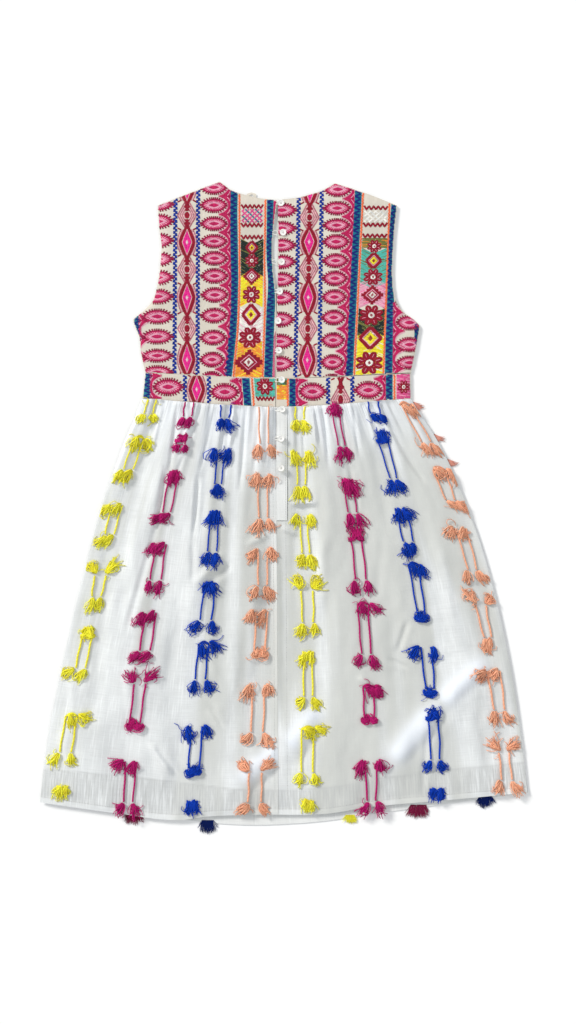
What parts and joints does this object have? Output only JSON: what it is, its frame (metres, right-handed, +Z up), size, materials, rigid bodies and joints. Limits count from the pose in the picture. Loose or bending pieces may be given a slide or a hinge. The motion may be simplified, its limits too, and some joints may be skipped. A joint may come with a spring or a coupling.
{
  "type": "embroidered dress",
  "caption": "Sleeveless dress laid flat on its front: embroidered bodice with a buttoned back, embroidered waistband, gathered white skirt with clipped-yarn ladder motifs.",
  "frame": {"origin": "centre of the dress's footprint, on the surface that it lies on", "axes": "+Y from the hem to the neck, +Z up from the surface, +X to the right as the back of the dress is seen from above"},
  "size_m": [0.7509, 1.0062, 0.0181],
  "materials": {
    "embroidered_cloth": "dense embroidery in magenta, blue and coral on a natural cotton ground",
    "skirt_cotton": "thin undyed slub cotton, matte",
    "lining_cotton": "plain white cotton, matte",
    "ribbon": "narrow natural ribbon",
    "button": "small white buttons with a soft shine",
    "yarn_yellow": "clipped yellow cotton yarn",
    "yarn_magenta": "clipped magenta cotton yarn",
    "yarn_blue": "clipped royal blue cotton yarn",
    "yarn_coral": "clipped coral cotton yarn"
  },
  "bodies": {
    "root": {"back_facing": "lining_cotton", "bodice_back_left": "embroidered_cloth", "bodice_back_right": "embroidered_cloth", "bodice_front": "embroidered_cloth", "button_01": "button", "button_02": "button", "button_03": "button", "button_04": "button", "button_05": "button", "button_06": "button", "button_07": "button", "button_08": "button", "button_09": "button", "button_10": "button", "front_tuft_hem_blue_left": "yarn_blue", "front_tuft_hem_blue_right": "yarn_blue", "front_tuft_hem_magenta_left": "yarn_magenta", "front_tuft_hem_magenta_right": "yarn_magenta", "front_tuft_hem_yellow": "yarn_yellow", "front_tuft_side_coral_high": "yarn_coral", "front_tuft_side_coral_low": "yarn_coral", "front_tuft_side_coral_top": "yarn_coral", "hanging_loop": "ribbon", "skirt_back_left": "skirt_cotton", "skirt_back_right": "skirt_cotton", "skirt_button_stand": "skirt_cotton", "skirt_front": "skirt_cotton", "skirt_lining": "lining_cotton", "waistband_back_left": "embroidered_cloth", "waistband_back_right": "embroidered_cloth", "waistband_front": "embroidered_cloth", "yarn_ladder_blue_left": "yarn_blue", "yarn_ladder_blue_right": "yarn_blue", "yarn_ladder_coral_left": "yarn_coral", "yarn_ladder_coral_right": "yarn_coral", "yarn_ladder_magenta_left": "yarn_magenta", "yarn_ladder_magenta_right": "yarn_magenta", "yarn_ladder_yellow_left": "yarn_yellow", "yarn_ladder_yellow_right": "yarn_yellow"}
  },
  "joints": []
}
